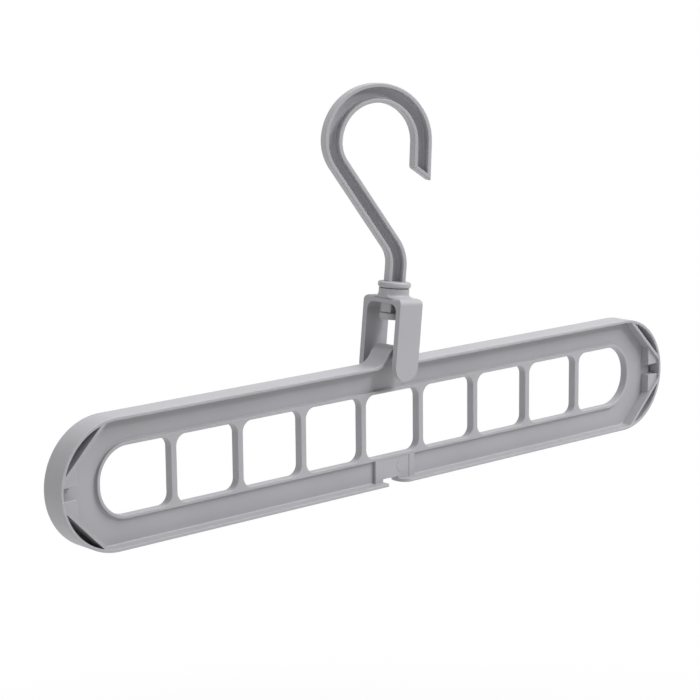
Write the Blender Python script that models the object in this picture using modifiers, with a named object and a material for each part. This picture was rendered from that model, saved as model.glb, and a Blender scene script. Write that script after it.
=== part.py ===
"""Nine-hole clothes hanger in moulded plastic: a long rail, a yoke that straddles it, a swivel hook and its cap.

Metres, +Z up, the rail along X and its front face towards -Y. The origin is where a wardrobe rod bears on the hook.
The rail hangs by its loop from two studs inside the yoke, and the yoke turns on the hook's round shaft.
"""

import math

import bmesh
import bpy
from mathutils import Matrix, Vector

MM = 0.001

# Rail, measured from its own centre
RAIL_LENGTH = 345.0 * MM
RAIL_HEIGHT = 52.4 * MM
RAIL_DEPTH = 11.4 * MM
FLANGE = 1.3 * MM
WEB_THICKNESS = 1.0 * MM

# Row of windows for the clothes hangers, of which the two end ones are longer and rounder
HOLE_COUNT = 9
END_MARGIN = 20.5 * MM
END_HOLE_EXTRA = 3.23 * MM
DIVIDER_WIDTH = 2.8 * MM
HOLE_HEIGHT = 27.5 * MM
HOLE_CORNER = 4.5 * MM
END_HOLE_FLAT = 1.5 * MM
FRAME_WALL = 1.4 * MM
FRAME_DEPTH = 3.9 * MM

# Pockets and blocks at each tip of the rail
POCKET_WIDTH = 5.0 * MM
POCKET_SKIN = 1.3 * MM
TIP_BLOCK_LENGTH = 8.0 * MM
TIP_BLOCK_SINK = 1.1 * MM
TIP_CHANNEL = 5.0 * MM

# Notch under the middle of the rail
NOTCH_LEFT = 5.6 * MM
NOTCH_LEFT_CORNER = 0.5 * MM
NOTCH_RIGHT = 3.2 * MM
NOTCH_RIGHT_CORNER = 5.0 * MM
NOTCH_RIB_MIDDLE = 1.3 * MM
NOTCH_RIB_OFFSET = 9.8 * MM
NOTCH_RIB_WIDTH = 3.4 * MM
NOTCH_RISE = 1.2 * MM
NOTCH_PAD_SINK = 0.25 * MM

# Loop over the middle of the rail
LOOP_RADIUS = 7.0 * MM
LOOP_RISE = 0.4 * MM
LOOP_FOOT_RADIUS = 8.0 * MM
LOOP_CAVITY_WIDTH = 16.0 * MM
LOOP_CAVITY_CORNER = 1.0 * MM
LOOP_MEMBRANE = 0.8 * MM

# Yoke, measured from its pivot along its own axis
YOKE_TILT = math.radians(6.4)
STUD_RADIUS = 2.4 * MM
LEG_WIDTH = 12.8 * MM
LEG_THICKNESS = 2.6 * MM
LEG_SIDE_GAP = 3.1 * MM
LEG_DROP = 10.2 * MM
CROWN_TOP = 24.6 * MM
CROWN_THICKNESS = 2.5 * MM
CROWN_CORNER = 1.5 * MM
CROWN_SHOULDER = 2.6 * MM
CROWN_INNER_CORNER = 3.5 * MM
NECK_RADIUS = 6.5 * MM
NECK_LENGTH = 3.6 * MM
NECK_FLARE = 1.6 * MM
NECK_EDGE = 0.4 * MM
BOSS_RADIUS = 5.2 * MM
BOSS_DROP = 4.1 * MM
BOSS_SLOT = 8.0 * MM

# Hook, measured in the yoke's frame after its turn on the swivel
HOOK_TURN = math.radians(-20.0)
LIMB_WIDTH = 8.2 * MM
DIAGONAL_WIDTH = 7.5 * MM
LIMB_THICKNESS = 5.2 * MM
LIMB_RIM = 1.7 * MM
LIMB_FLOOR = 1.4 * MM
COLLAR_LIP = 0.5 * MM
COLLAR_HEIGHT = 2.6 * MM
COLLAR_EDGE = 0.9 * MM
NECK_STRAIGHT = 6.5 * MM
NECK_BEND_RADIUS = 15.3 * MM
DIAGONAL = math.radians(39.6)
LOWER_BEND_RADIUS = 16.6 * MM
CROWN_OFFSET = 12.9 * MM
CROWN_RADIUS = 20.2 * MM
TIP_FLARE = math.radians(2.6)
TIP_LENGTH = 13.4 * MM
TIP_CUT = math.radians(33.0)
TIP_CORNER = 1.2 * MM
TIP_RIM = 1.8 * MM
JOURNAL_RADIUS = 3.2 * MM
SPIGOT_RADIUS = 2.4 * MM

# Cap pressed on the lower end of the hook's shaft
CAP_RADIUS = 5.5 * MM
CAP_HEIGHT = 2.8 * MM
CAP_FLOOR = 0.8 * MM
CAP_EDGE = 0.5 * MM

# Gaps between pieces that touch, turn or are pressed together
REST_GAP = 0.3 * MM
FACE_CLEARANCE = 0.2 * MM
RUNNING_CLEARANCE = 0.06 * MM
PRESS_CLEARANCE = 0.02 * MM

# How far shapes overlap before they are joined, and how far cutters run past
OVERLAP = 0.5 * MM
PAST = 3.0 * MM
WELD = 0.001 * MM
FLAT_ANGLE = math.radians(0.5)

# How finely round forms are stepped, and from what angle an edge is shaded sharp
ARC_STEP = math.radians(9.0)
TURN_STEPS = 48
FLARE_STEPS = 6
EDGE_STEPS = 4
SHARP_ANGLE = math.radians(30.0)
QUARTER = math.pi / 2

# Sizes and places that follow from those above
END_CENTRE = (RAIL_LENGTH - RAIL_HEIGHT) / 2
END_HOLE_REACH = RAIL_LENGTH / 2 - END_MARGIN
END_HOLE_CORNER = (HOLE_HEIGHT - END_HOLE_FLAT) / 2
HOLE_WIDTH = (2 * (END_HOLE_REACH - END_HOLE_EXTRA) + DIVIDER_WIDTH) / HOLE_COUNT - DIVIDER_WIDTH
HOLE_PITCH = HOLE_WIDTH + DIVIDER_WIDTH
CHORD_DISTANCE = RAIL_HEIGHT / 2 - POCKET_WIDTH
TIP_BLOCK_START = RAIL_LENGTH / 2 - TIP_BLOCK_LENGTH
LOOP_CENTRE = RAIL_HEIGHT / 2 + LOOP_RISE
LOOP_FOOT_HEIGHT = RAIL_HEIGHT / 2 + LOOP_FOOT_RADIUS
STUD_END_GAP = LOOP_MEMBRANE + 2 * FACE_CLEARANCE
PIVOT_HEIGHT = LOOP_CENTRE + LOOP_RADIUS - FLANGE - REST_GAP - STUD_RADIUS
YOKE_DEPTH = RAIL_DEPTH + 2 * (LEG_SIDE_GAP + LEG_THICKNESS)
NECK_TOP = CROWN_TOP + NECK_LENGTH
COLLAR_RADIUS = NECK_RADIUS + COLLAR_LIP
COLLAR_BASE = NECK_TOP + FACE_CLEARANCE
COLLAR_TOP = COLLAR_BASE + COLLAR_HEIGHT
BOSS_BASE = CROWN_TOP - CROWN_THICKNESS - BOSS_DROP
CAP_TOP = BOSS_BASE - FACE_CLEARANCE
NECK_BEND_HEIGHT = COLLAR_TOP + NECK_STRAIGHT
BEND_SUM = NECK_BEND_RADIUS + LOWER_BEND_RADIUS
CROWN_LEFT = CROWN_OFFSET + CROWN_RADIUS
DIAGONAL_RUN = CROWN_LEFT - BEND_SUM * (1 - math.cos(DIAGONAL))
CROWN_SIDE_HEIGHT = NECK_BEND_HEIGHT + BEND_SUM * math.sin(DIAGONAL) + DIAGONAL_RUN / math.tan(DIAGONAL)

# Which way a flat shape faces: seen from the front, from the side or from above
FRONT = Matrix(((1, 0, 0), (0, 0, -1), (0, 1, 0))).to_4x4()
SIDE = Matrix(((0, 0, 1), (1, 0, 0), (0, 1, 0))).to_4x4()
PLAN = Matrix.Identity(4)

COLOURS = {
    "rail": (0.36, 0.36, 0.38),
    "yoke": (0.41, 0.41, 0.43),
    "hook": (0.38, 0.38, 0.40),
    "hook_retaining_cap": (0.34, 0.34, 0.36),
}
PLASTIC_ROUGHNESS = 0.45


def clear_scene():
    for obj in list(bpy.data.objects):
        bpy.data.objects.remove(obj, do_unlink=True)


def new_collection(name):
    group = bpy.data.collections.new(name)
    bpy.context.scene.collection.children.link(group)
    return group


def new_frame(name, matrix, parent=None):
    """An empty that carries pieces and marks a joint's axis."""
    empty = bpy.data.objects.new(name, None)
    bpy.context.scene.collection.objects.link(empty)
    empty.parent = parent
    empty.matrix_basis = matrix
    return empty


def plastic(name):
    material = bpy.data.materials.new(name)
    material.use_nodes = True
    shader = material.node_tree.nodes["Principled BSDF"]
    shader.inputs["Base Color"].default_value = (*COLOURS[name], 1.0)
    shader.inputs["Roughness"].default_value = PLASTIC_ROUGHNESS
    shader.inputs["Metallic"].default_value = 0.0
    return material


# Outlines


def arc(centre, radius, start, end):
    """Points on an arc about centre, from one angle to another."""
    count = max(2, math.ceil(abs(end - start) / ARC_STEP))
    angles = [start + (end - start) * i / count for i in range(count + 1)]
    return [(centre[0] + radius * math.cos(a), centre[1] + radius * math.sin(a)) for a in angles]


def quarter_turns(count):
    return [QUARTER * i / count for i in range(count + 1)]


def rounded(corners, radii):
    """A closed outline through the corners, each one rounded to its radius."""
    points = []
    for i, radius in enumerate(radii):
        corner = Vector(corners[i])
        back = (Vector(corners[i - 1]) - corner).normalized()
        ahead = (Vector(corners[(i + 1) % len(corners)]) - corner).normalized()
        if radius == 0.0:
            points.append(tuple(corner))
            continue
        half = back.angle(ahead) / 2
        centre = corner + (back + ahead).normalized() * radius / math.sin(half)
        first = corner + back * radius / math.tan(half) - centre
        last = corner + ahead * radius / math.tan(half) - centre
        start = math.atan2(first.y, first.x)
        turn = math.remainder(math.atan2(last.y, last.x) - start, 2 * math.pi)
        points += arc(centre, radius, start, start + turn)
    return points


def rounded_box(left, right, low, high, left_radius, right_radius):
    corners = [(left, low), (right, low), (right, high), (left, high)]
    return rounded(corners, [left_radius, right_radius, right_radius, left_radius])


def rail_outline(inset):
    """The rail's outline moved inward by inset, with the loop's dome over its middle."""
    radius = RAIL_HEIGHT / 2 - inset
    dome = LOOP_RADIUS - inset
    foot = LOOP_FOOT_RADIUS + inset
    lift = LOOP_FOOT_HEIGHT - LOOP_CENTRE
    foot_x = math.sqrt((LOOP_RADIUS + LOOP_FOOT_RADIUS) ** 2 - lift ** 2)
    lean = math.atan2(lift, foot_x)
    points = arc((END_CENTRE, 0.0), radius, -QUARTER, QUARTER)
    points += arc((foot_x, LOOP_FOOT_HEIGHT), foot, -QUARTER, lean - math.pi)
    points += arc((0.0, LOOP_CENTRE), dome, lean, math.pi - lean)[1:-1]
    points += arc((-foot_x, LOOP_FOOT_HEIGHT), foot, -lean, -QUARTER)
    points += arc((-END_CENTRE, 0.0), radius, QUARTER, 3 * QUARTER)
    return points


def window_outlines():
    """The nine windows, of which the two end ones have a nearly semicircular outer end."""
    outlines = []
    half_height = HOLE_HEIGHT / 2
    half_width = HOLE_WIDTH / 2
    last = HOLE_COUNT - 1
    for i in range(HOLE_COUNT):
        centre = (i - last / 2) * HOLE_PITCH
        left = -END_HOLE_REACH if i == 0 else centre - half_width
        right = END_HOLE_REACH if i == last else centre + half_width
        left_radius = END_HOLE_CORNER if i == 0 else HOLE_CORNER
        right_radius = END_HOLE_CORNER if i == last else HOLE_CORNER
        outlines.append(rounded_box(left, right, -half_height, half_height, left_radius, right_radius))
    return outlines


def window_frame_outline():
    """The raised frame round the whole row of windows."""
    reach = END_HOLE_REACH + FRAME_WALL
    height = HOLE_HEIGHT / 2 + FRAME_WALL
    corner = END_HOLE_CORNER + FRAME_WALL
    return rounded_box(-reach, reach, -height, height, corner, corner)


def chord_ends(distance):
    """Where a line at 45 degrees across the rail's upper right tip, at distance from its centre, meets the arc wall."""
    radius = RAIL_HEIGHT / 2 - FLANGE / 2
    half = math.sqrt(radius ** 2 - distance ** 2)
    high = ((distance - half) * math.sqrt(0.5), (distance + half) * math.sqrt(0.5))
    low = ((distance + half) * math.sqrt(0.5), (distance - half) * math.sqrt(0.5))
    return (END_CENTRE + high[0], high[1]), (END_CENTRE + low[0], low[1])


def chord_wall_outline():
    """The straight wall that closes off one crescent pocket."""
    inner_high, inner_low = chord_ends(CHORD_DISTANCE - FLANGE / 2)
    outer_high, outer_low = chord_ends(CHORD_DISTANCE + FLANGE / 2)
    return [inner_high, inner_low, outer_low, outer_high]


def pocket_outline():
    """The crescent between one chord wall and the arc wall, reaching to the middle of both."""
    radius = RAIL_HEIGHT / 2 - FLANGE / 2
    lean = math.acos(CHORD_DISTANCE / radius)
    return arc((END_CENTRE, 0.0), radius, QUARTER / 2 - lean, QUARTER / 2 + lean)


def tip_block_outline():
    """The block between one chord wall, the arc wall and the channel along the rail's middle."""
    bottom = TIP_CHANNEL / 2
    wall_radius = RAIL_HEIGHT / 2 - FLANGE / 2
    chord_low = chord_ends(CHORD_DISTANCE)[1]
    chord_sum = CHORD_DISTANCE * math.sqrt(2.0) + END_CENTRE
    inner_low = (TIP_BLOCK_START, bottom)
    outer_low = (END_CENTRE + math.sqrt(wall_radius ** 2 - bottom ** 2), bottom)
    inner_high = (TIP_BLOCK_START, chord_sum - TIP_BLOCK_START)
    return [inner_low, outer_low, chord_low, inner_high]


def notch_outline():
    """The notch seen from above, widening where the flange's cut ends are rounded off."""
    face = RAIL_DEPTH / 2
    outline = []
    for side, reach, corner in ((1, NOTCH_RIGHT, NOTCH_RIGHT_CORNER), (-1, NOTCH_LEFT, NOTCH_LEFT_CORNER)):
        wide = reach + corner
        end = [(wide, -face - PAST)] + arc((wide, -face + corner), corner, 3 * QUARTER, 2 * QUARTER)
        end += [(x, -y) for x, y in end[::-1]]
        outline += [(side * x, side * y) for x, y in end]
    return outline


def mirrored(outline, across, up):
    return [(x * across, z * up) for x, z in outline]


# Solids


def placed(name, data, frame, matrix, group):
    obj = bpy.data.objects.new(name, data)
    group.objects.link(obj)
    obj.parent = frame
    obj.matrix_basis = matrix
    return obj


def tool(obj):
    """A shape that is only joined to or cut from a piece."""
    obj.hide_render = True
    obj.display_type = "WIRE"
    return obj


def plate(name, outlines, thickness, facing, frame, group, centre=(0.0, 0.0, 0.0)):
    """A flat solid of one or more closed outlines, where an outline inside another is a hole."""
    curve = bpy.data.curves.new(name, "CURVE")
    curve.dimensions = "2D"
    curve.fill_mode = "BOTH"
    curve.extrude = thickness / 2
    for outline in outlines:
        spline = curve.splines.new("POLY")
        spline.points.add(len(outline) - 1)
        spline.use_cyclic_u = True
        for point, (u, v) in zip(spline.points, outline):
            point.co = (u, v, 0.0, 1.0)
    flat = placed(name, curve, frame, Matrix.Translation(centre) @ facing, group)
    bpy.context.view_layer.update()
    graph = bpy.context.evaluated_depsgraph_get()
    mesh = bpy.data.meshes.new_from_object(flat.evaluated_get(graph))
    work = bmesh.new()
    work.from_mesh(mesh)
    bmesh.ops.remove_doubles(work, verts=work.verts, dist=WELD)
    bmesh.ops.dissolve_limit(work, angle_limit=FLAT_ANGLE, verts=work.verts, edges=work.edges)
    bmesh.ops.recalc_face_normals(work, faces=work.faces)
    work.to_mesh(mesh)
    work.free()
    place = flat.matrix_basis.copy()
    bpy.data.objects.remove(flat, do_unlink=True)
    return placed(name, mesh, frame, place, group)


def turned(name, profile, frame, group):
    """A profile of (radius, height) points, from the axis down the outer side, turned about the frame's own axis."""
    mesh = bpy.data.meshes.new(name)
    points = [(radius, 0.0, height) for radius, height in profile]
    edges = [(i, i + 1) for i in range(len(points) - 1)]
    mesh.from_pydata(points, edges, [])
    obj = placed(name, mesh, frame, Matrix.Identity(4), group)
    screw = obj.modifiers.new("turn", "SCREW")
    screw.steps = TURN_STEPS
    screw.render_steps = TURN_STEPS
    screw.use_merge_vertices = True
    screw.merge_threshold = WELD
    return obj


def combine(obj, operation, *operands):
    for operand in operands:
        step = obj.modifiers.new(operand.name, "BOOLEAN")
        step.operation = operation
        step.solver = "EXACT"
        step.object = tool(operand)


def finish(obj):
    obj.data.materials.clear()
    obj.data.materials.append(plastic(obj.name))
    obj.data.shade_smooth()
    obj.data.set_sharp_from_angle(angle=SHARP_ANGLE)


# Rail


def build_rail(frame, parts, tools):
    """Web and raised window frame inside a flange that rises into a loop, with ribs, tip pockets and a notch."""
    deep = RAIL_DEPTH + 2 * PAST
    rail = plate("rail", [rail_outline(FLANGE / 2)], WEB_THICKNESS, FRONT, frame, parts)

    sill = RAIL_HEIGHT / 2 - FLANGE
    half = LOOP_CAVITY_WIDTH / 2
    corners = [(-half, sill), (half, sill), (half, sill + 2 * LOOP_RADIUS), (-half, sill + 2 * LOOP_RADIUS)]
    cavity = rounded(corners, [LOOP_CAVITY_CORNER, LOOP_CAVITY_CORNER, 0.0, 0.0])
    for side in (-1, 1):
        middle = (0.0, side * (LOOP_MEMBRANE + WEB_THICKNESS) / 2, 0.0)
        name = f"loop_cavity_{'front' if side < 0 else 'back'}"
        combine(rail, "DIFFERENCE", plate(name, [cavity], WEB_THICKNESS, FRONT, frame, tools, middle))

    pockets = [mirrored(pocket_outline(), across, up) for across in (-1, 1) for up in (-1, 1)]
    combine(rail, "DIFFERENCE", plate("pockets", pockets, 2 * WEB_THICKNESS, FRONT, frame, tools))

    band = [rail_outline(0.0), rail_outline(FLANGE)]
    combine(rail, "UNION", plate("flange", band, RAIL_DEPTH, FRONT, frame, tools))
    surround = [window_frame_outline()]
    combine(rail, "UNION", plate("window_frame", surround, FRAME_DEPTH, FRONT, frame, tools))

    wall_depth = RAIL_DEPTH - FACE_CLEARANCE
    block_depth = RAIL_DEPTH - 2 * TIP_BLOCK_SINK
    skin_middle = (0.0, (wall_depth - POCKET_SKIN) / 2, 0.0)
    for across in (-1, 1):
        for up in (-1, 1):
            where = f"{'left' if across < 0 else 'right'}_{'lower' if up < 0 else 'upper'}"
            wall = [mirrored(chord_wall_outline(), across, up)]
            block = [mirrored(tip_block_outline(), across, up)]
            skin = [mirrored(pocket_outline(), across, up)]
            combine(rail, "UNION", plate(f"chord_wall_{where}", wall, wall_depth, FRONT, frame, tools))
            combine(rail, "UNION", plate(f"skin_{where}", skin, POCKET_SKIN, FRONT, frame, tools, skin_middle))
            combine(rail, "UNION", plate(f"tip_block_{where}", block, block_depth, FRONT, frame, tools))

    floor = -RAIL_HEIGHT / 2 + FLANGE
    shelf = -HOLE_HEIGHT / 2 - FRAME_WALL
    left = NOTCH_RIB_MIDDLE - NOTCH_RIB_OFFSET
    right = NOTCH_RIB_MIDDLE + NOTCH_RIB_OFFSET
    pad = [(left, floor), (right, floor), (right, shelf + OVERLAP), (left, shelf + OVERLAP)]
    pad_depth = FRAME_DEPTH - 2 * NOTCH_PAD_SINK
    combine(rail, "UNION", plate("notch_pad", [pad], pad_depth, FRONT, frame, tools))
    for side in (-1, 1):
        middle = NOTCH_RIB_MIDDLE + side * NOTCH_RIB_OFFSET
        left = middle - NOTCH_RIB_WIDTH / 2
        right = middle + NOTCH_RIB_WIDTH / 2
        low = floor - FLANGE / 2
        rib = [(left, low), (right, low), (right, shelf + OVERLAP), (left, shelf + OVERLAP)]
        name = f"notch_rib_{'left' if side < 0 else 'right'}"
        combine(rail, "UNION", plate(name, [rib], FRAME_DEPTH, FRONT, frame, tools))

    combine(rail, "DIFFERENCE", plate("windows", window_outlines(), deep, FRONT, frame, tools))
    notch_height = NOTCH_RISE + FLANGE + PAST
    notch_middle = (0.0, 0.0, floor + NOTCH_RISE - notch_height / 2)
    combine(rail, "DIFFERENCE", plate("notch", [notch_outline()], notch_height, PLAN, frame, tools, notch_middle))
    return rail


# Yoke


def neck_profile():
    """Neck above the crown with a flared foot, and the boss below it."""
    foot = NECK_RADIUS + NECK_FLARE
    profile = [(0.0, NECK_TOP), (NECK_RADIUS - NECK_EDGE, NECK_TOP), (NECK_RADIUS, NECK_TOP - NECK_EDGE)]
    for turn in quarter_turns(FLARE_STEPS)[::-1]:
        profile.append((foot - NECK_FLARE * math.sin(turn), CROWN_TOP + NECK_FLARE * (1 - math.cos(turn))))
    profile += [(foot, CROWN_TOP - OVERLAP), (BOSS_RADIUS, CROWN_TOP - OVERLAP)]
    return profile + [(BOSS_RADIUS, BOSS_BASE), (0.0, BOSS_BASE)]


def build_yoke(frame, parts, tools):
    """An inverted U with a round-ended leg either side of the rail, a neck for the hook and two studs for the loop."""
    outside = YOKE_DEPTH / 2
    inside = outside - LEG_THICKNESS
    under = CROWN_TOP - CROWN_THICKNESS
    corners = [(-outside, -LEG_DROP), (-inside, -LEG_DROP), (-inside, under), (inside, under)]
    corners += [(inside, -LEG_DROP), (outside, -LEG_DROP), (outside, CROWN_TOP), (-outside, CROWN_TOP)]
    radii = [0.0, 0.0, CROWN_INNER_CORNER, CROWN_INNER_CORNER, 0.0, 0.0, CROWN_SHOULDER, CROWN_SHOULDER]
    yoke = plate("yoke", [rounded(corners, radii)], LEG_WIDTH + PAST, SIDE, frame, parts)

    half = LEG_WIDTH / 2
    low = LEG_DROP - half
    face = arc((0.0, -low), half, -math.pi, 0.0)
    top = rounded([(0.0, -low), (half, -low), (half, CROWN_TOP), (-half, CROWN_TOP), (-half, -low)],
                  [0.0, 0.0, CROWN_CORNER, CROWN_CORNER, 0.0])
    face += top[2:-1]
    combine(yoke, "INTERSECT", plate("leg_face", [face], YOKE_DEPTH + PAST, FRONT, frame, tools))

    neck = turned("neck", neck_profile(), frame, tools)
    slab = [(-half, under - BOSS_DROP - PAST), (half, under - BOSS_DROP - PAST)]
    slab += [(half, NECK_TOP + PAST), (-half, NECK_TOP + PAST)]
    combine(neck, "INTERSECT", plate("neck_width", [slab], YOKE_DEPTH, FRONT, frame, tools))
    combine(yoke, "UNION", neck)

    length = inside + OVERLAP - STUD_END_GAP / 2
    for side in (-1, 1):
        middle = (0.0, side * (STUD_END_GAP / 2 + length / 2), 0.0)
        circle = arc((0.0, 0.0), STUD_RADIUS, 0.0, 4 * QUARTER)[:-1]
        name = f"stud_{'front' if side < 0 else 'back'}"
        combine(yoke, "UNION", plate(name, [circle], length, FRONT, frame, tools, middle))

    reach = BOSS_SLOT / 2
    slot = [(-reach, BOSS_BASE - PAST), (reach, BOSS_BASE - PAST), (reach, under), (-reach, under)]
    slot_depth = 2 * (BOSS_RADIUS + OVERLAP)
    combine(yoke, "DIFFERENCE", plate("boss_slot", [slot], slot_depth, FRONT, frame, tools))

    bore = JOURNAL_RADIUS + RUNNING_CLEARANCE
    hole = [(0.0, NECK_TOP + PAST), (bore, NECK_TOP + PAST), (bore, BOSS_BASE - PAST), (0.0, BOSS_BASE - PAST)]
    combine(yoke, "DIFFERENCE", turned("bore", hole, frame, tools))
    return yoke


# Hook


def bend(centre, radius, start, end, width_start, width_end):
    """Stations (point, left-hand normal, half width) along one bend of the limb's centreline."""
    side = -1.0 if end > start else 1.0
    points = [Vector(p) for p in arc(centre, radius, start, end)]
    last = len(points) - 1
    halves = [(width_start + (width_end - width_start) * i / last) / 2 for i in range(last + 1)]
    return [(p, side * (p - Vector(centre)).normalized(), half) for p, half in zip(points, halves)]


def centreline():
    """Stations from the collar up through the neck bend, the diagonal, the lower bend and the crown to the tip."""
    wide = LIMB_WIDTH
    slim = DIAGONAL_WIDTH
    stations = [(Vector((0.0, COLLAR_TOP - OVERLAP)), Vector((-1.0, 0.0)), wide / 2)]
    stations += bend((-NECK_BEND_RADIUS, NECK_BEND_HEIGHT), NECK_BEND_RADIUS, 0.0, DIAGONAL, wide, slim)
    lower_centre = (LOWER_BEND_RADIUS - CROWN_LEFT, CROWN_SIDE_HEIGHT)
    stations += bend(lower_centre, LOWER_BEND_RADIUS, math.pi + DIAGONAL, math.pi, slim, wide)
    crown_centre = (-CROWN_OFFSET, CROWN_SIDE_HEIGHT)
    stations += bend(crown_centre, CROWN_RADIUS, math.pi, TIP_FLARE, wide, wide)[1:]
    down = Vector((math.sin(TIP_FLARE), -math.cos(TIP_FLARE)))
    point, normal, half = stations[-1]
    return stations + [(point + down * TIP_LENGTH, normal, half)]


def limb_outline(inset, start_inset, tip_inset, tip_corner):
    """The limb's outline moved inward by inset, from the collar to the slanted cut with one rounded corner."""
    stations = centreline()
    point, normal, half = stations[0]
    stations[0] = (point + Vector((0.0, start_inset)), normal, half)
    point, normal, half = stations.pop()
    down = Vector((normal.y, -normal.x))
    point = point - down * tip_inset / math.cos(TIP_CUT)
    across = normal * (half - inset)
    slant = down * (half - inset) * math.tan(TIP_CUT)
    left = [p + n * (h - inset) for p, n, h in stations] + [point + across + slant]
    right = [p - n * (h - inset) for p, n, h in stations] + [point - across - slant]
    return rounded(left + right[::-1], [0.0] * len(left) + [tip_corner] + [0.0] * (len(right) - 1))


def rod_seat(upward):
    """Highest point inside the crown as the hanger hangs, where a rod bears, in the hook's frame."""
    reach = CROWN_RADIUS - LIMB_WIDTH / 2
    lift = Vector((upward.x, 0.0, upward.z)).normalized()
    return Vector((-CROWN_OFFSET, 0.0, CROWN_SIDE_HEIGHT)) + lift * reach


def collar_profile():
    """Collar with rounded rims over the shaft that turns in the yoke's neck, and the thinner spigot below it."""
    steps = [(COLLAR_EDGE * (1 - math.cos(t)), COLLAR_EDGE * (1 - math.sin(t))) for t in quarter_turns(EDGE_STEPS)]
    upper = [(COLLAR_RADIUS - step_in, COLLAR_TOP - down) for step_in, down in steps[::-1]]
    lower = [(COLLAR_RADIUS - step_in, COLLAR_BASE + rise) for step_in, rise in steps]
    shoulder = CROWN_TOP - CROWN_THICKNESS
    end = CAP_TOP - CAP_HEIGHT + CAP_FLOOR + FACE_CLEARANCE
    shaft = [(JOURNAL_RADIUS, COLLAR_BASE), (JOURNAL_RADIUS, shoulder), (SPIGOT_RADIUS, shoulder)]
    return [(0.0, COLLAR_TOP)] + upper + lower + shaft + [(SPIGOT_RADIUS, end), (0.0, end)]


def build_hook(frame, parts, tools):
    """An open hook of channel section, hollowed from the front, over a round collar and shaft."""
    hook = plate("hook", [limb_outline(0.0, 0.0, 0.0, TIP_CORNER)], LIMB_THICKNESS, FRONT, frame, parts)
    recess = [limb_outline(LIMB_RIM, OVERLAP / 2, TIP_RIM, 0.0)]
    middle = (0.0, -LIMB_FLOOR, 0.0)
    combine(hook, "DIFFERENCE", plate("recess", recess, LIMB_THICKNESS, FRONT, frame, tools, middle))
    combine(hook, "UNION", turned("collar_and_shaft", collar_profile(), frame, tools))
    return hook


def build_cap(frame, parts):
    """A round cap whose blind bore presses on the spigot under the yoke's boss."""
    base = CAP_TOP - CAP_HEIGHT
    bore = SPIGOT_RADIUS + PRESS_CLEARANCE
    profile = [(0.0, base + CAP_FLOOR), (bore, base + CAP_FLOOR), (bore, CAP_TOP)]
    profile += [(CAP_RADIUS - CAP_EDGE, CAP_TOP), (CAP_RADIUS, CAP_TOP - CAP_EDGE)]
    profile += [(CAP_RADIUS, base + CAP_EDGE), (CAP_RADIUS - CAP_EDGE, base), (0.0, base)]
    return turned("hook_retaining_cap", profile, frame, parts)


def main():
    clear_scene()
    parts = new_collection("nine_hole_hanger")
    tools = new_collection("cutters")

    tilt = Matrix.Rotation(YOKE_TILT, 4, "Y")
    turn = Matrix.Rotation(HOOK_TURN, 4, "Z")
    upward = (tilt @ turn).inverted() @ Vector((0.0, 0.0, 1.0))
    seat = tilt @ turn @ rod_seat(upward)
    pivot = new_frame("rail_pivot_axis", Matrix.Translation(-seat))
    swivel = new_frame("hook_swivel_axis", tilt, pivot)
    hook_frame = new_frame("hook_turned", turn, swivel)
    rail_middle = new_frame("rail_middle", Matrix.Translation((0.0, 0.0, -PIVOT_HEIGHT)), pivot)

    finish(build_rail(rail_middle, parts, tools))
    finish(build_yoke(swivel, parts, tools))
    finish(build_hook(hook_frame, parts, tools))
    finish(build_cap(hook_frame, parts))


main()
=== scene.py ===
"""Looks of the nine-hole clothes hanger: fine moulded surfaces, a plain studio and the photo's camera."""

import math

import bmesh
import bpy
from mathutils import Matrix, Vector


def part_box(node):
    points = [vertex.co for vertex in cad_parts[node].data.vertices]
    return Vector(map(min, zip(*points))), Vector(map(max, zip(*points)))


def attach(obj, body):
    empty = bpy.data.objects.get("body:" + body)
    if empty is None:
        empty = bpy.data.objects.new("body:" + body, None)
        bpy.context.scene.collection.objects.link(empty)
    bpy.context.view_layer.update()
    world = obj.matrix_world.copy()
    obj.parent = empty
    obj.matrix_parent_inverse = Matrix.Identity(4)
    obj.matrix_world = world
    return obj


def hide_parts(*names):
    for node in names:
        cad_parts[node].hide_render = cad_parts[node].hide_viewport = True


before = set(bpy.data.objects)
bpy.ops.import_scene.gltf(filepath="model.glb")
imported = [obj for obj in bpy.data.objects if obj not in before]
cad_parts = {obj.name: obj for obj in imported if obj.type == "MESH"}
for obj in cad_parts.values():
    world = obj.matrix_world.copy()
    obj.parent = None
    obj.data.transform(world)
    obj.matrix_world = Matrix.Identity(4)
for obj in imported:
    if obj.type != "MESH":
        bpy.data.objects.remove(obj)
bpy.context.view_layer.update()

MM = 0.001
QUARTER = math.pi / 2

# Rail, measured from its own centre
RAIL_LENGTH = 345.0 * MM
RAIL_HEIGHT = 52.4 * MM
RAIL_DEPTH = 11.4 * MM
FLANGE = 1.3 * MM
FLANGE_EDGE = 0.3 * MM
WEB = 1.0 * MM
WEB_FILLET = 0.5 * MM

# Windows and the raised frame round them
HOLE_COUNT = 9
END_MARGIN = 20.5 * MM
END_HOLE_EXTRA = 3.23 * MM
DIVIDER = 2.8 * MM
HOLE_HEIGHT = 27.5 * MM
HOLE_CORNER = 4.5 * MM
END_HOLE_FLAT = 1.5 * MM
FRAME_WALL = 1.4 * MM
FRAME_DEPTH = 3.9 * MM
FRAME_EDGE = 0.3 * MM
FRAME_FOOT = 0.5 * MM

# Tip pockets, blocks, channel and pits
POCKET_WIDTH = 5.0 * MM
POCKET_SKIN = 1.3 * MM
POCKET_END = 0.15 * MM
TIP_BLOCK_LENGTH = 8.0 * MM
TIP_BLOCK_SINK = 1.1 * MM
TIP_CHANNEL = 5.0 * MM
WALL_SINK = 0.1 * MM
PIT_WIDTH = 1.9 * MM
PIT_LOW = -2.3 * MM
PIT_HIGH = 1.0 * MM
PIT_MARGIN = 0.1 * MM
PIT_SKIN = 0.15 * MM

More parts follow.
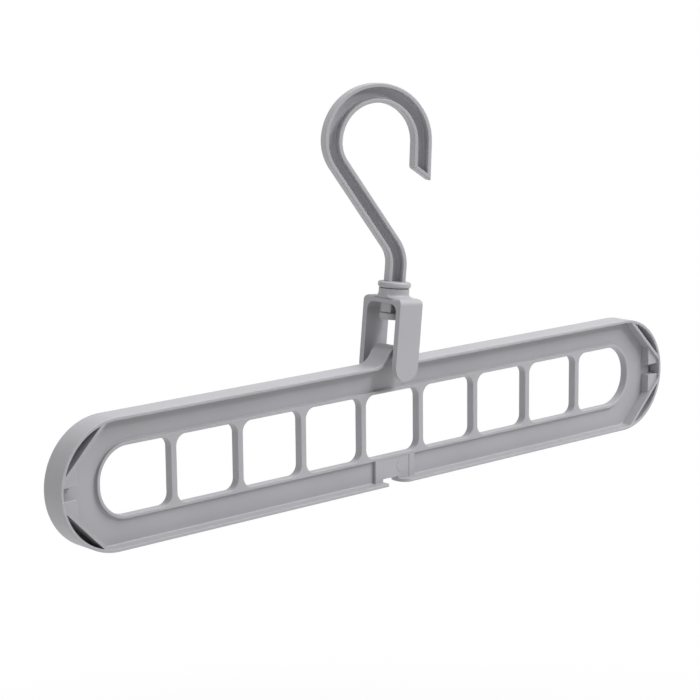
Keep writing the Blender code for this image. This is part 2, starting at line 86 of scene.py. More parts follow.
# Notch under the middle, with its ribs and the gate mark beside it
NOTCH_LEFT = 5.6 * MM
NOTCH_LEFT_CORNER = 0.5 * MM
NOTCH_RIGHT = 3.2 * MM
NOTCH_RIGHT_CORNER = 5.0 * MM
NOTCH_RIB_MIDDLE = 1.3 * MM
NOTCH_RIB_OFFSET = 9.8 * MM
NOTCH_RIB_WIDTH = 3.4 * MM
NOTCH_RISE = 1.2 * MM
NOTCH_PAD_SINK = 0.25 * MM
RIB_SINK = 0.01 * MM
GATE_RADIUS = 2.6 * MM
GATE_PLACE = (5.0 * MM, -19.4 * MM)
GATE_RISE = 0.15 * MM

# Loop over the middle
LOOP_RADIUS = 7.0 * MM
LOOP_RISE = 0.4 * MM
LOOP_FOOT_RADIUS = 8.0 * MM
LOOP_CAVITY = 16.0 * MM
LOOP_CORNER = 1.0 * MM
LOOP_MEMBRANE = 0.8 * MM
LOOP_SHAVE = 0.03 * MM
REST_GAP = 0.3 * MM

# Yoke, measured from its pivot along its own axis
YOKE_TILT = math.radians(6.4)
STUD_RADIUS = 2.4 * MM
STUD_GAP = 1.2 * MM
LEG_WIDTH = 12.8 * MM
LEG_THICKNESS = 2.6 * MM
YOKE_DEPTH = 22.8 * MM
LEG_DROP = 10.2 * MM
CROWN_TOP = 24.6 * MM
CROWN_THICKNESS = 2.5 * MM
CROWN_CORNER = 1.5 * MM
CROWN_SHOULDER = 2.6 * MM
CROWN_INNER_CORNER = 3.5 * MM
YOKE_EDGE = 0.3 * MM
YOKE_EDGE_STEPS = 3
YOKE_EDGE_ANGLE = math.radians(50.0)
NECK_RADIUS = 6.5 * MM
NECK_TOP = 28.2 * MM
NECK_FLARE = 1.6 * MM
NECK_TRIM = 0.02 * MM
BOSS_RADIUS = 5.2 * MM
BOSS_BASE = 18.0 * MM
BOSS_SLOT = 8.0 * MM

# Hook, in the yoke's frame after its turn on the swivel
HOOK_TURN = math.radians(-20.0)
LIMB_WIDTH = 8.12 * MM
DIAGONAL_WIDTH = 7.5 * MM
LIMB_THICKNESS = 5.2 * MM
LIMB_EDGE = 0.5 * MM
LIMB_RIM = 1.7 * MM
LIMB_FLOOR = 1.4 * MM
RIM_EDGE = 0.25 * MM
RECESS_FILLET = 0.9 * MM
PARTING_DEPTH = 0.07 * MM
PARTING_HALF = 0.16 * MM
COLLAR_RADIUS = 7.0 * MM
COLLAR_BASE = 28.4 * MM
COLLAR_TOP = 31.0 * MM
COLLAR_EDGE = 0.9 * MM
NECK_STRAIGHT = 6.5 * MM
NECK_BEND = 15.3 * MM
DIAGONAL = math.radians(39.6)
LOWER_BEND = 16.6 * MM
CROWN_OFFSET = 12.9 * MM
CROWN_RADIUS = 20.2 * MM
TIP_FLARE = math.radians(2.6)
TIP_LENGTH = 13.4 * MM
TIP_CUT = math.radians(33.0)
TIP_CORNER = 1.2 * MM
TIP_RIM = 1.8 * MM
JOURNAL_RADIUS = 3.2 * MM
SPIGOT_RADIUS = 2.4 * MM
RUNNING_CLEARANCE = 0.06 * MM
PRESS_CLEARANCE = 0.02 * MM

# Cap on the shaft's end
CAP_RADIUS = 5.5 * MM
CAP_TOP = 17.8 * MM
CAP_BASE = 15.0 * MM
CAP_EDGE = 0.6 * MM
CAP_FLOOR = 0.8 * MM
SPIGOT_END_GAP = 0.2 * MM

# How fine the round forms are
ARC_STEP = math.radians(3.0)
TURN_STEPS = 96
EDGE_STEPS = 4
FILLET_STEPS = 8

# How far shapes overlap or cutters run past, and the flat disc that closes each end of a turned shape
OVERLAP = 0.4 * MM
PAST = 3.0 * MM
CORE_RADIUS = 1.0 * MM

# Sum of the directions to both neighbours under which an outline has no corner at a point
NO_CORNER = 1e-6

# Shading across edges
SHARP_ANGLE = math.radians(38.0)
FACE_WEIGHT = 80

# Plastic: colour, roughness, faint clouding, and the fine grain's gloss and depth
GREY = (0.402, 0.40, 0.423)
RAIL_ROUGHNESS = 0.46
YOKE_ROUGHNESS = 0.45
HOOK_ROUGHNESS = 0.42
CAP_ROUGHNESS = 0.45
CLOUD_SCALE = 28.0
CLOUD_DETAIL = 4.0
CLOUD_RANGE = (0.35, 0.65)
CLOUD_TONES = (0.965, 1.02)
GRAIN_SCALE = 2200.0
GRAIN_DETAIL = 2.0
GRAIN_GLOSS = (-0.05, 0.06)
GRAIN_STRENGTH = 0.25
GRAIN_DEPTH = 0.04 * MM
PLASTIC_IOR = 1.49

# Camera, in the frame of the rail's centre
CAMERA_PLACE = (-602.5 * MM, -641.4 * MM, 199.3 * MM)
CAMERA_YAW = math.radians(42.13)
CAMERA_DOWN = math.radians(10.794)
CAMERA_ROLL = math.radians(-0.60)
CAMERA_LENS = 108.9
SENSOR = 36.0

# Studio floor in metres, and the share of plain white in what the camera sees of it
FLOOR_REACH = 8.0
FLOOR_DROP = 0.35
FLOOR_TONE = 0.86
FLOOR_ROUGHNESS = 0.9
FADE_START = 0.3
FADE_END = 0.8
WHITE_NEAR = 0.6
WHITE_FAR = 1.0

# Sky, and lamps aimed at the rail's centre: offset from it and size in metres, power in watts
SKY_STRENGTH = 0.29
LAMPS = {
    "key": {"offset": (0.73, -0.73, 1.23), "size": 0.9, "power": 14.6},
    "top": {"offset": (0.0, -0.14, 1.6), "size": 0.9, "power": 6.6},
    "back": {"offset": (0.0, 0.55, 1.5), "size": 0.9, "power": 4.4},
    "left": {"offset": (-1.54, 0.0, 0.41), "size": 0.9, "power": 3.9},
    "front": {"offset": (0.49, -1.22, 0.92), "size": 0.32, "power": 6.8},
}

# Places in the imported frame
RAIL_LOW, RAIL_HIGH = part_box("rail")
RAIL_X = (RAIL_LOW.x + RAIL_HIGH.x) / 2
RAIL_Y = (RAIL_LOW.y + RAIL_HIGH.y) / 2
RAIL_CENTRE = Vector((RAIL_X, RAIL_Y, RAIL_LOW.z + RAIL_HEIGHT / 2))
LOOP_CENTRE = RAIL_HEIGHT / 2 + LOOP_RISE
LOOP_FOOT_HEIGHT = RAIL_HEIGHT / 2 + LOOP_FOOT_RADIUS
PIVOT_HEIGHT = LOOP_CENTRE + LOOP_RADIUS - FLANGE - REST_GAP - STUD_RADIUS
PIVOT = RAIL_CENTRE + Vector((0.0, 0.0, PIVOT_HEIGHT))
RAIL_PLACE = Matrix.Translation(RAIL_CENTRE)
YOKE_PLACE = Matrix.Translation(PIVOT) @ Matrix.Rotation(YOKE_TILT, 4, "Y")
HOOK_PLACE = YOKE_PLACE @ Matrix.Rotation(HOOK_TURN, 4, "Z")

# Sizes that follow from the ones above
END_CENTRE = (RAIL_LENGTH - RAIL_HEIGHT) / 2
ARC_WALL_MIDDLE = RAIL_HEIGHT / 2 - FLANGE / 2
INNER_FLOOR = -RAIL_HEIGHT / 2 + FLANGE
END_HOLE_REACH = RAIL_LENGTH / 2 - END_MARGIN
END_HOLE_CORNER = (HOLE_HEIGHT - END_HOLE_FLAT) / 2
HOLE_WIDTH = (2 * (END_HOLE_REACH - END_HOLE_EXTRA) + DIVIDER) / HOLE_COUNT - DIVIDER
HOLE_PITCH = HOLE_WIDTH + DIVIDER
CROWN_UNDERSIDE = CROWN_TOP - CROWN_THICKNESS
LEG_INSIDE = YOKE_DEPTH / 2 - LEG_THICKNESS


# Outlines, as (across, up) points seen from the front


def quarter_turns(steps):
    """Angles from nothing to a quarter turn, in even steps."""
    return [QUARTER * i / steps for i in range(steps + 1)]


def arc(centre, radius, start, end):
    count = max(2, math.ceil(abs(end - start) / ARC_STEP))
    angles = [start + (end - start) * i / count for i in range(count + 1)]
    return [(centre[0] + radius * math.cos(a), centre[1] + radius * math.sin(a)) for a in angles]


def circle(centre, radius):
    return arc(centre, radius, 0.0, 4 * QUARTER)[:-1]


def quarter_edge(radius):
    """Steps (in, down) of a rounded edge, from the side wall up to the face."""
    return [(radius * (1 - math.cos(t)), radius * (1 - math.sin(t))) for t in quarter_turns(EDGE_STEPS)]


def plain_box(left, right, low, high):
    return [(left, low), (right, low), (right, high), (left, high)]


def rounded_box(left, right, low, high, radii, grow):
    """A box with one radius for each corner from the lower left round, grown on all sides by grow."""
    left, low, right, high = left - grow, low - grow, right + grow, high + grow
    corners = [(left, low, 1, 1), (right, low, -1, 1), (right, high, -1, -1), (left, high, 1, -1)]
    points = []
    for i, ((x, z, across, up), radius) in enumerate(zip(corners, radii)):
        size = radius + grow
        start = math.pi + i * QUARTER
        points += arc((x + across * size, z + up * size), size, start, start + QUARTER)
    return points


def mirrored(outline, across, up):
    return [(x * across, z * up) for x, z in outline]


def rail_outline(inset):
    """The rail's edge moved inward: two half rounds, the straights and the loop on its two feet."""
    radius = RAIL_HEIGHT / 2 - inset
    lift = LOOP_FOOT_HEIGHT - LOOP_CENTRE
    foot_x = math.sqrt((LOOP_RADIUS + LOOP_FOOT_RADIUS) ** 2 - lift ** 2)
    lean = math.atan2(lift, foot_x)
    foot = LOOP_FOOT_RADIUS + inset
    points = arc((END_CENTRE, 0.0), radius, -QUARTER, QUARTER)
    points += arc((foot_x, LOOP_FOOT_HEIGHT), foot, -QUARTER, lean - math.pi)
    points += arc((0.0, LOOP_CENTRE), LOOP_RADIUS - inset, lean, math.pi - lean)[1:-1]
    points += arc((-foot_x, LOOP_FOOT_HEIGHT), foot, -lean, -QUARTER)
    points += arc((-END_CENTRE, 0.0), radius, QUARTER, 3 * QUARTER)
    return points


def frame_outline(grow):
    reach = END_HOLE_REACH + FRAME_WALL
    height = HOLE_HEIGHT / 2 + FRAME_WALL
    corner = END_HOLE_CORNER + FRAME_WALL
    return rounded_box(-reach, reach, -height, height, [corner] * 4, grow)


def window_outline(index, grow):
    """One window: the first and the last have a nearly half-round outer end."""
    last = HOLE_COUNT - 1
    middle = (index - last / 2) * HOLE_PITCH
    left = -END_HOLE_REACH if index == 0 else middle - HOLE_WIDTH / 2
    right = END_HOLE_REACH if index == last else middle + HOLE_WIDTH / 2
    near = END_HOLE_CORNER if index == 0 else HOLE_CORNER
    far = END_HOLE_CORNER if index == last else HOLE_CORNER
    return rounded_box(left, right, -HOLE_HEIGHT / 2, HOLE_HEIGHT / 2, [near, far, far, near], grow)


def crescent_outline():
    """The solid between one straight pocket wall's inner face and the middle of the arc wall."""
    distance = RAIL_HEIGHT / 2 - POCKET_WIDTH - FLANGE / 2
    lean = math.acos(distance / ARC_WALL_MIDDLE)
    return arc((END_CENTRE, 0.0), ARC_WALL_MIDDLE, QUARTER / 2 - lean, QUARTER / 2 + lean)


def pocket_outline():
    """One crescent pocket, with its two narrow ends rounded."""
    chord = RAIL_HEIGHT / 2 - POCKET_WIDTH + FLANGE / 2
    radius = RAIL_HEIGHT / 2 - FLANGE
    end = POCKET_END
    along = math.sqrt((radius - end) ** 2 - (chord + end) ** 2)
    lean = math.atan2(along, chord + end)
    points = arc((0.0, 0.0), radius, -lean, lean)
    points += arc((chord + end, along), end, lean, 2 * QUARTER)[1:]
    points += arc((chord + end, -along), end, 2 * QUARTER, 4 * QUARTER - lean)[:-1]
    unit = math.sqrt(0.5)
    return [(END_CENTRE + (x - z) * unit, (x + z) * unit) for x, z in points]


def tip_block_outline():
    """The block between the tip's channel, the arc wall and the straight pocket wall."""
    distance = RAIL_HEIGHT / 2 - POCKET_WIDTH
    start = RAIL_LENGTH / 2 - TIP_BLOCK_LENGTH
    bottom = TIP_CHANNEL / 2
    far = (END_CENTRE + math.sqrt(ARC_WALL_MIDDLE ** 2 - bottom ** 2), bottom)
    half = math.sqrt(ARC_WALL_MIDDLE ** 2 - distance ** 2)
    unit = math.sqrt(0.5)
    wall_end = (END_CENTRE + (distance + half) * unit, (distance - half) * unit)
    slope_sum = distance * math.sqrt(2.0) + END_CENTRE
    return [(start, bottom), far, wall_end, (start, slope_sum - start)]


def notch_outline():
    """The notch from above, widening where the flange's cut ends are rounded off."""
    face = RAIL_DEPTH / 2
    outline = []
    for side, reach, corner in ((1, NOTCH_RIGHT, NOTCH_RIGHT_CORNER), (-1, NOTCH_LEFT, NOTCH_LEFT_CORNER)):
        wide = reach + corner
        end = [(wide, -face - PAST)] + arc((wide, -face + corner), corner, 3 * QUARTER, 2 * QUARTER)
        end += [(x, -y) for x, y in end[::-1]]
        outline += [(side * x, side * y) for x, y in end]
    return outline


def shrunk(outline, middle, amount):
    """A convex outline moved inward by amount on each side."""
    if not amount:
        return outline
    points = [Vector(p) for p in outline]
    moved = []
    for i, point in enumerate(points):
        back = (points[i - 1] - point).normalized()
        ahead = (points[(i + 1) % len(points)] - point).normalized()
        half = back.angle(ahead) / 2
        inward = back + ahead
        if inward.length < NO_CORNER:
            inward = Vector((-ahead.y, ahead.x))
        inward.normalize()
        if inward.dot(middle - point) < 0:
            inward = -inward
        moved.append(tuple(point + inward * amount / math.sin(half)))
    return moved


# Mesh making


def ring(mesh, outline, depth):
    """A closed row of vertices along an outline, at one depth behind or before the middle plane."""
    return [mesh.verts.new((x, depth, z)) for x, z in outline]


def bridge(mesh, first, second):
    count = len(first)
    for i in range(count):
        j = (i + 1) % count
        mesh.faces.new((first[i], first[j], second[j], second[i]))


def bridge_all(mesh, rings):
    for first, second in zip(rings, rings[1:]):
        bridge(mesh, first, second)


def fill(mesh, *rings):
    """A flat face inside the first ring and outside the others."""
    edges = []
    for row in rings:
        for i, vertex in enumerate(row):
            other = row[(i + 1) % len(row)]
            edges.append(mesh.edges.get((vertex, other)) or mesh.edges.new((vertex, other)))
    bmesh.ops.triangle_fill(mesh, use_beauty=True, edges=edges)


def made(name, mesh, place):
    """The finished object of a mesh, with its faces outward."""
    bmesh.ops.recalc_face_normals(mesh, faces=mesh.faces)
    data = bpy.data.meshes.new(name)
    mesh.to_mesh(data)
    mesh.free()
    data.transform(place)
    obj = bpy.data.objects.new(name, data)
    bpy.context.scene.collection.objects.link(obj)
    return obj


def prism(mesh, outline, low, high, edge, turn=None):
    """A straight piece between two depths, with its two rims rounded by edge."""
    middle = Vector((sum(p[0] for p in outline), sum(p[1] for p in outline))) / len(outline)
    steps = quarter_edge(edge) if edge else [(0.0, 0.0)]
    rims = [(shrunk(outline, middle, step_in), down) for step_in, down in steps]
    rings = [ring(mesh, points, low + down) for points, down in rims[::-1]]
    rings += [ring(mesh, points, high - down) for points, down in rims]
    bridge_all(mesh, rings)
    mesh.faces.new(rings[0])
    mesh.faces.new(rings[-1])
    if turn:
        bmesh.ops.transform(mesh, matrix=turn, verts=[v for row in rings for v in row])


def lathe(mesh, profile):
    """A profile of (radius, height) points turned about the vertical axis, with a flat face at each end."""
    turns = [2 * math.pi * i / TURN_STEPS for i in range(TURN_STEPS)]
    rows = []
    for radius, height in profile:
        rows.append([mesh.verts.new((radius * math.cos(t), radius * math.sin(t), height)) for t in turns])
    bridge_all(mesh, rows)
    mesh.faces.new(rows[0])
    mesh.faces.new(rows[-1])


def prism_object(name, place, outline, low, high, edge=0.0):
    mesh = bmesh.new()
    prism(mesh, outline, low, high, edge)
    return made(name, mesh, place)


def lathe_object(name, place, profile):
    mesh = bmesh.new()
    lathe(mesh, profile)
    return made(name, mesh, place)


def combine(obj, operation, operand):
    step = obj.modifiers.new(operand.name, "BOOLEAN")
    step.operation = operation
    step.solver = "EXACT"
    step.object = operand


def settle(obj, *operands):
    """Keep the evaluated shape as the object's own mesh, and remove the shapes it was made with."""
    bpy.context.view_layer.update()
    graph = bpy.context.evaluated_depsgraph_get()
    data = bpy.data.meshes.new_from_object(obj.evaluated_get(graph))
    obj.modifiers.clear()
    obj.data = data
    for operand in operands:
        bpy.data.objects.remove(operand, do_unlink=True)
    return obj


def smooth(obj):
    obj.data.shade_smooth()
    obj.data.set_sharp_from_angle(angle=SHARP_ANGLE)
    weighted = obj.modifiers.new("even_shading", "WEIGHTED_NORMAL")
    weighted.keep_sharp = True
    weighted.weight = FACE_WEIGHT


# Rail


def flange_and_web(mesh, side):
    """Rings from the flange's outer edge over its rim and down the fillet to the web, on one side."""
    deep = RAIL_DEPTH / 2
    profile = [(step_in, deep - down) for step_in, down in quarter_edge(FLANGE_EDGE)]
    profile += [(FLANGE - step_in, deep - down) for step_in, down in quarter_edge(FLANGE_EDGE)[::-1]]
    fillet_in = FLANGE + WEB_FILLET
    fillet_up = WEB / 2 + WEB_FILLET
    for t in quarter_turns(FILLET_STEPS):
        profile.append((fillet_in - WEB_FILLET * math.cos(t), fillet_up - WEB_FILLET * math.sin(t)))
    rings = [ring(mesh, rail_outline(inset), side * depth) for inset, depth in profile]
    bridge_all(mesh, rings)
    return rings


def window_frame(mesh, side, web_ring):
    """The web's face, the raised frame and the windows' rounded edges, with each window's last ring."""
    face = FRAME_DEPTH / 2
    foot_top = WEB / 2 + FRAME_FOOT
    profile = []
    for t in quarter_turns(EDGE_STEPS):
        profile.append((FRAME_FOOT - FRAME_FOOT * math.sin(t), foot_top - FRAME_FOOT * math.cos(t)))
    profile += [(-step_in, face - down) for step_in, down in quarter_edge(FRAME_EDGE)]
    rings = [ring(mesh, frame_outline(grow), side * depth) for grow, depth in profile]
    bridge_all(mesh, rings)
    fill(mesh, web_ring, rings[0])
    tops = []
    lows = []
    for index in range(HOLE_COUNT):
        steps = quarter_edge(FRAME_EDGE)[::-1]
        rows = [ring(mesh, window_outline(index, step_in), side * (face - down)) for step_in, down in steps]
        bridge_all(mesh, rows)
        tops.append(rows[0])
        lows.append(rows[-1])
    fill(mesh, rings[-1], *tops)
    return lows


def rail_shell():
    """Flange, fillet, web, window frame and windows as one closed surface, the same front and back."""
    mesh = bmesh.new()
    front = flange_and_web(mesh, -1)
    back = flange_and_web(mesh, 1)
    bridge(mesh, front[0], back[0])
    front_windows = window_frame(mesh, -1, front[-1])
    back_windows = window_frame(mesh, 1, back[-1])
    for front_ring, back_ring in zip(front_windows, back_windows):
        bridge(mesh, front_ring, back_ring)
    return made("rail_moulding", mesh, RAIL_PLACE)


def tip_shapes():
    """The four crescents, the pockets that hollow them from the front, and the four tip blocks."""
    crescents = bmesh.new()
    pockets = bmesh.new()
    blocks = bmesh.new()
    wall_depth = RAIL_DEPTH / 2 - WALL_SINK
    block_depth = RAIL_DEPTH / 2 - TIP_BLOCK_SINK
    for across in (-1, 1):
        for up in (-1, 1):
            prism(crescents, mirrored(crescent_outline(), across, up), -wall_depth, wall_depth, 0.0)
            pocket = mirrored(pocket_outline(), across, up)
            prism(pockets, pocket, -wall_depth - PAST, wall_depth - POCKET_SKIN, 0.0)
            prism(blocks, mirrored(tip_block_outline(), across, up), -block_depth, block_depth, FLANGE_EDGE)
    shapes = {"crescents": crescents, "pockets": pockets, "tip_blocks": blocks}
    return [made(name, mesh, RAIL_PLACE) for name, mesh in shapes.items()]


def tip_pits():
    """A small blind pit in the web at each tip, between the two blocks and close to the end wall."""
    pits = bmesh.new()
    end = RAIL_LENGTH / 2 - FLANGE - PIT_MARGIN
    for across in (-1, 1):
        near, far = sorted((across * (end - PIT_WIDTH), across * end))
        prism(pits, plain_box(near, far, PIT_LOW, PIT_HIGH), -WEB - PAST, WEB / 2 - PIT_SKIN, 0.0)
    return made("tip_pits", pits, RAIL_PLACE)


def notch_shapes():
    """The pad over the notch with its round gate mark, and the two ribs at the pad's ends."""
    shelf = -HOLE_HEIGHT / 2 - FRAME_WALL
    left = NOTCH_RIB_MIDDLE - NOTCH_RIB_OFFSET
    right = NOTCH_RIB_MIDDLE + NOTCH_RIB_OFFSET
    pad = bmesh.new()
    depth = FRAME_DEPTH / 2 - NOTCH_PAD_SINK
    prism(pad, plain_box(left, right, INNER_FLOOR, shelf), -depth, depth, 0.0)
    prism(pad, circle(GATE_PLACE, GATE_RADIUS), -depth - GATE_RISE, -depth + OVERLAP, GATE_RISE / 2)
    ribs = bmesh.new()
    depth = FRAME_DEPTH / 2 - RIB_SINK
    half = NOTCH_RIB_WIDTH / 2
    for middle in (left, right):
        rib = plain_box(middle - half, middle + half, INNER_FLOOR - OVERLAP, shelf + OVERLAP)
        prism(ribs, rib, -depth, depth, FRAME_EDGE)
    return made("notch_pad", pad, RAIL_PLACE), made("notch_ribs", ribs, RAIL_PLACE)


def loop_hollows():
    """The two hollows inside the loop, either side of its membrane."""
    sill = RAIL_HEIGHT / 2 - FLANGE
    half = LOOP_CAVITY / 2
    dome = [(x, z) for x, z in rail_outline(FLANGE - LOOP_SHAVE) if abs(x) < half and z > sill]
    base = arc((-half + LOOP_CORNER, sill + LOOP_CORNER), LOOP_CORNER, 2 * QUARTER, 3 * QUARTER)
    base += arc((half - LOOP_CORNER, sill + LOOP_CORNER), LOOP_CORNER, 3 * QUARTER, 4 * QUARTER)
    hollows = bmesh.new()
    prism(hollows, base + dome, -RAIL_DEPTH, -LOOP_MEMBRANE / 2, 0.0)
    prism(hollows, base + dome, LOOP_MEMBRANE / 2, RAIL_DEPTH, 0.0)
    return made("loop_hollows", hollows, RAIL_PLACE)


def notch():
    """What the notch takes out of the flange and, a little, out of the pad over it."""
    mesh = bmesh.new()
    rows = []
    for height in (INNER_FLOOR - FLANGE - PAST, INNER_FLOOR + NOTCH_RISE):
        rows.append([mesh.verts.new((x, y, height)) for x, y in notch_outline()])
    bridge(mesh, rows[0], rows[1])
    mesh.faces.new(rows[0])
    mesh.faces.new(rows[1])
    return made("notch", mesh, RAIL_PLACE)


def build_rail():
    rail = rail_shell()
    crescents, pockets, blocks = tip_shapes()
    pad, ribs = notch_shapes()
    steps = [("UNION", crescents), ("UNION", blocks), ("DIFFERENCE", pockets), ("DIFFERENCE", tip_pits())]
    steps += [("UNION", pad), ("UNION", ribs), ("DIFFERENCE", notch()), ("DIFFERENCE", loop_hollows())]
    for operation, shape in steps:
        combine(rail, operation, shape)
        settle(rail, shape)
    smooth(rail)
    return rail


# Yoke


def fork_outline():
    """Crown and two legs seen from the rail's end, with the legs' lower ends left long."""
    outside = YOKE_DEPTH / 2
    inside = LEG_INSIDE
    under = CROWN_UNDERSIDE
    corner = CROWN_INNER_CORNER
    shoulder = CROWN_SHOULDER
    fork = arc((-outside + shoulder, CROWN_TOP - shoulder), shoulder, 2 * QUARTER, QUARTER)
    fork += arc((outside - shoulder, CROWN_TOP - shoulder), shoulder, QUARTER, 0.0)
    fork += [(outside, -LEG_DROP - PAST), (inside, -LEG_DROP - PAST)]
    fork += arc((inside - corner, under - corner), corner, 0.0, QUARTER)
    fork += arc((-inside + corner, under - corner), corner, QUARTER, 2 * QUARTER)
    fork += [(-inside, -LEG_DROP - PAST), (-outside, -LEG_DROP - PAST)]
    return fork


def leg_outline():
    """A leg seen from the front, with its round lower end and the crown's small corners."""
    half = LEG_WIDTH / 2
    face = arc((0.0, half - LEG_DROP), half, -math.pi, 0.0)
    face += arc((half - CROWN_CORNER, CROWN_TOP - CROWN_CORNER), CROWN_CORNER, 0.0, QUARTER)
    face += arc((-half + CROWN_CORNER, CROWN_TOP - CROWN_CORNER), CROWN_CORNER, QUARTER, 2 * QUARTER)
    return face


def yoke_fork():
    """Crown and legs as one piece with softened edges."""
    mesh = bmesh.new()
    prism(mesh, fork_outline(), -LEG_WIDTH, LEG_WIDTH, 0.0, Matrix.Rotation(QUARTER, 4, "Z"))
    fork = made("yoke_moulding", mesh, YOKE_PLACE)
    leg_face = prism_object("leg_face", YOKE_PLACE, leg_outline(), -YOKE_DEPTH, YOKE_DEPTH)
    combine(fork, "INTERSECT", leg_face)
    settle(fork, leg_face)
    soften = fork.modifiers.new("edges", "BEVEL")
    soften.width = YOKE_EDGE
    soften.segments = YOKE_EDGE_STEPS
    soften.limit_method = "ANGLE"
    soften.angle_limit = YOKE_EDGE_ANGLE
    return settle(fork)


def yoke_neck():
    """Neck with a flared foot, trimmed to the crown's width, over the boss."""
    profile = [(CORE_RADIUS, NECK_TOP)]
    profile += [(NECK_RADIUS - step_in, NECK_TOP - down) for step_in, down in quarter_edge(YOKE_EDGE)[::-1]]
    for t in quarter_turns(FILLET_STEPS)[::-1]:
        flare = NECK_RADIUS + NECK_FLARE * (1 - math.sin(t))
        profile.append((flare, CROWN_TOP + NECK_FLARE * (1 - math.cos(t))))
    profile += [(NECK_RADIUS + NECK_FLARE, CROWN_TOP - OVERLAP), (BOSS_RADIUS, CROWN_TOP - OVERLAP)]
    profile += [(BOSS_RADIUS - step_in, BOSS_BASE + down) for step_in, down in quarter_edge(YOKE_EDGE)]
    profile += [(CORE_RADIUS, BOSS_BASE)]
    neck = lathe_object("neck", YOKE_PLACE, profile)
    half = LEG_WIDTH / 2 - NECK_TRIM
    slab = plain_box(-half, half, BOSS_BASE - PAST, NECK_TOP + PAST)
    trim = prism_object("neck_width", YOKE_PLACE, slab, -YOKE_DEPTH, YOKE_DEPTH)
    combine(neck, "INTERSECT", trim)
    return settle(neck, trim)


def yoke_studs():
    """Two short studs that point inward from the legs, with a gap between them for the loop's membrane."""
    studs = bmesh.new()
    for side in (-1, 1):
        low, high = sorted((side * STUD_GAP / 2, side * (LEG_INSIDE + OVERLAP)))
        prism(studs, circle((0.0, 0.0), STUD_RADIUS), low, high, FLANGE_EDGE)
    return made("studs", studs, YOKE_PLACE)


def build_yoke():
    yoke = yoke_fork()
    reach = BOSS_SLOT / 2
    opening = plain_box(-reach, reach, BOSS_BASE - PAST, CROWN_UNDERSIDE)
    slot = prism_object("boss_slot", YOKE_PLACE, opening, -BOSS_RADIUS - OVERLAP, BOSS_RADIUS + OVERLAP)
    radius = JOURNAL_RADIUS + RUNNING_CLEARANCE
    bore = lathe_object("bore", YOKE_PLACE, [(radius, NECK_TOP + PAST), (radius, BOSS_BASE - PAST)])
    steps = [("UNION", yoke_neck()), ("UNION", yoke_studs()), ("DIFFERENCE", slot), ("DIFFERENCE", bore)]
    for operation, shape in steps:
        combine(yoke, operation, shape)
    settle(yoke, *[shape for operation, shape in steps])
    smooth(yoke)
    return yoke


# Hook


def bend(centre, radius, start, end, width_start, width_end):
    """Stations (point, left-hand normal, half width) along one bend of the limb."""
    side = -1.0 if end > start else 1.0
    points = [Vector(p) for p in arc(centre, radius, start, end)]
    last = len(points) - 1
    halves = [(width_start + (width_end - width_start) * i / last) / 2 for i in range(last + 1)]
    return [(p, side * (p - Vector(centre)).normalized(), half) for p, half in zip(points, halves)]


def centreline():
    """Stations from the collar to the start of the tip's straight end."""
    bends = NECK_BEND + LOWER_BEND
    left = CROWN_OFFSET + CROWN_RADIUS
    run = left - bends * (1 - math.cos(DIAGONAL))
    bend_height = COLLAR_TOP + NECK_STRAIGHT
    side_height = bend_height + bends * math.sin(DIAGONAL) + run / math.tan(DIAGONAL)
    wide = LIMB_WIDTH
    slim = DIAGONAL_WIDTH
    stations = [(Vector((0.0, COLLAR_TOP - OVERLAP)), Vector((-1.0, 0.0)), wide / 2)]
    stations += bend((-NECK_BEND, bend_height), NECK_BEND, 0.0, DIAGONAL, wide, slim)
    stations += bend((LOWER_BEND - left, side_height), LOWER_BEND, math.pi + DIAGONAL, math.pi, slim, wide)
    stations += bend((-CROWN_OFFSET, side_height), CROWN_RADIUS, math.pi, TIP_FLARE, wide, wide)[1:]
    return stations


def limb_side(half, shrink=0.0):
    """One side of the limb's section from the front face round to the back, with a shallow parting line."""
    deep = LIMB_THICKNESS / 2 - shrink
    wide = half - shrink
    back = [(wide, PARTING_HALF)]
    back += [(wide - step_in, deep - down) for step_in, down in quarter_edge(LIMB_EDGE)]
    return [(x, -y) for x, y in back[::-1]] + [(wide - PARTING_DEPTH, 0.0)] + back


def channel_side(half):
    """The channel's right half, from its filleted floor up its straight wall to the rounded rim."""
    wide = half - LIMB_RIM
    floor = LIMB_THICKNESS / 2 - LIMB_FLOOR
    face = -LIMB_THICKNESS / 2
    right = [(wide - step_in, floor - up) for up, step_in in quarter_edge(RECESS_FILLET)]
    return right + [(wide + step_out, face + down) for step_out, down in quarter_edge(RIM_EDGE)]


def flipped(section):
    return [(-across, depth) for across, depth in section[::-1]]


def tip_drop(across, half, corner):
    """How far down the tip's slanted cut lies at a place across the limb, with its inner corner rounded."""
    slope = math.tan(TIP_CUT)
    tangent = corner / math.tan((QUARTER + TIP_CUT) / 2)
    if across > -half + tangent * math.cos(TIP_CUT):
        return across * slope
    lift = math.sqrt(max(0.0, corner ** 2 - (across + half - corner) ** 2))
    return -half * slope - tangent + lift


def limb_ring(mesh, point, normal, section, drops):
    down = Vector((normal.y, -normal.x))
    vertices = []
    for (across, depth), drop in zip(section, drops):
        place = point + normal * across + down * drop
        vertices.append(mesh.verts.new((place.x, depth, place.y)))
    return vertices


